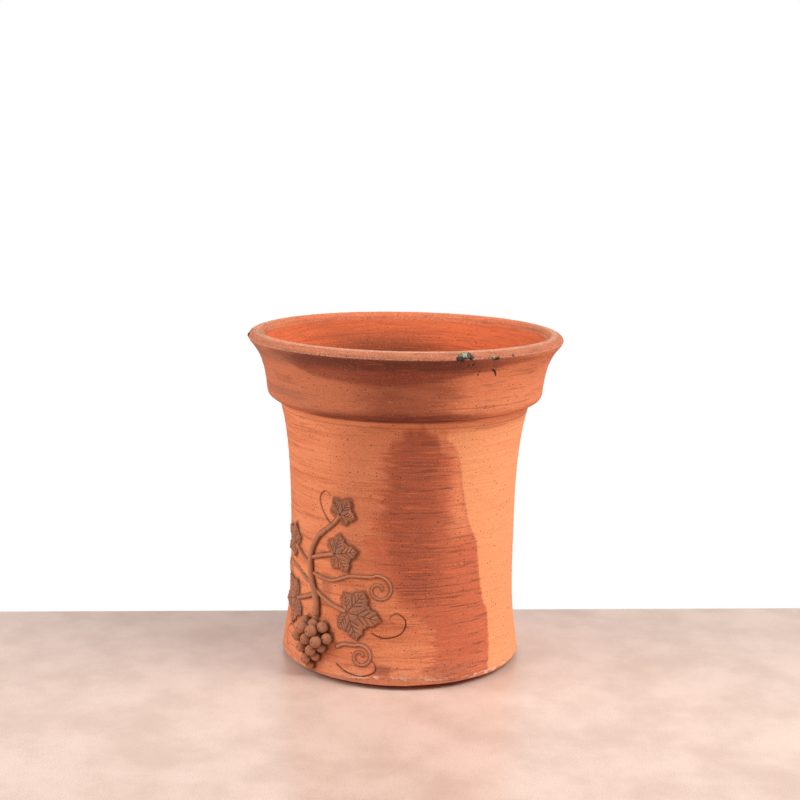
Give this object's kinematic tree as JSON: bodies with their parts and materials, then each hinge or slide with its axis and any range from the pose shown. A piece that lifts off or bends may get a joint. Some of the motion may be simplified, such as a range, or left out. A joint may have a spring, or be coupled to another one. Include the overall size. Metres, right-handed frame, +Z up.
{
  "type": "planter pot",
  "caption": "Hand-thrown terracotta planter with a waisted body, stepped collar, flared rim, drain hole and an applied vine sprig near the foot.",
  "frame": {"origin": "centre of the foot, on the ground, at the bottom centre of the part", "axes": "+Z up along the pot's axis; -Y is the front, which faces the viewer; the sprig is at the front left, 45 degrees from -Y towards -X"},
  "size_m": [0.264, 0.264, 0.28],
  "materials": {
    "terracotta": "unglazed, matt, with throwing lines, grog and iron specks",
    "sprig_clay": "unglazed dark red-brown clay, hand-modelled, near-black in the recesses",
    "berry_clay": "unglazed dark red-brown clay, rolled and rubbed lighter on top"
  },
  "bodies": {
    "root": {"berry_seated_01": "berry_clay", "berry_seated_02": "berry_clay", "berry_seated_03": "berry_clay", "berry_seated_04": "berry_clay", "berry_seated_05": "berry_clay", "berry_seated_06": "berry_clay", "berry_seated_07": "berry_clay", "berry_seated_08": "berry_clay", "berry_seated_09": "berry_clay", "berry_seated_10": "berry_clay", "berry_seated_11": "berry_clay", "berry_seated_12": "berry_clay", "berry_seated_13": "berry_clay", "berry_upper_01": "berry_clay", "berry_upper_02": "berry_clay", "berry_upper_03": "berry_clay", "berry_upper_04": "berry_clay", "berry_upper_05": "berry_clay", "berry_upper_06": "berry_clay", "berry_upper_07": "berry_clay", "berry_upper_08": "berry_clay", "leaf_left": "sprig_clay", "leaf_right": "sprig_clay", "leaf_tip": "sprig_clay", "leaf_upper_left": "sprig_clay", "leaf_upper_right": "sprig_clay", "petiole_left": "sprig_clay", "petiole_right": "sprig_clay", "petiole_tip": "sprig_clay", "petiole_upper_left": "sprig_clay", "petiole_upper_right": "sprig_clay", "tendril_left": "sprig_clay", "tendril_low": "sprig_clay", "tendril_right": "sprig_clay", "thrown_vessel": "terracotta", "vine_cane": "sprig_clay"}
  },
  "joints": []
}
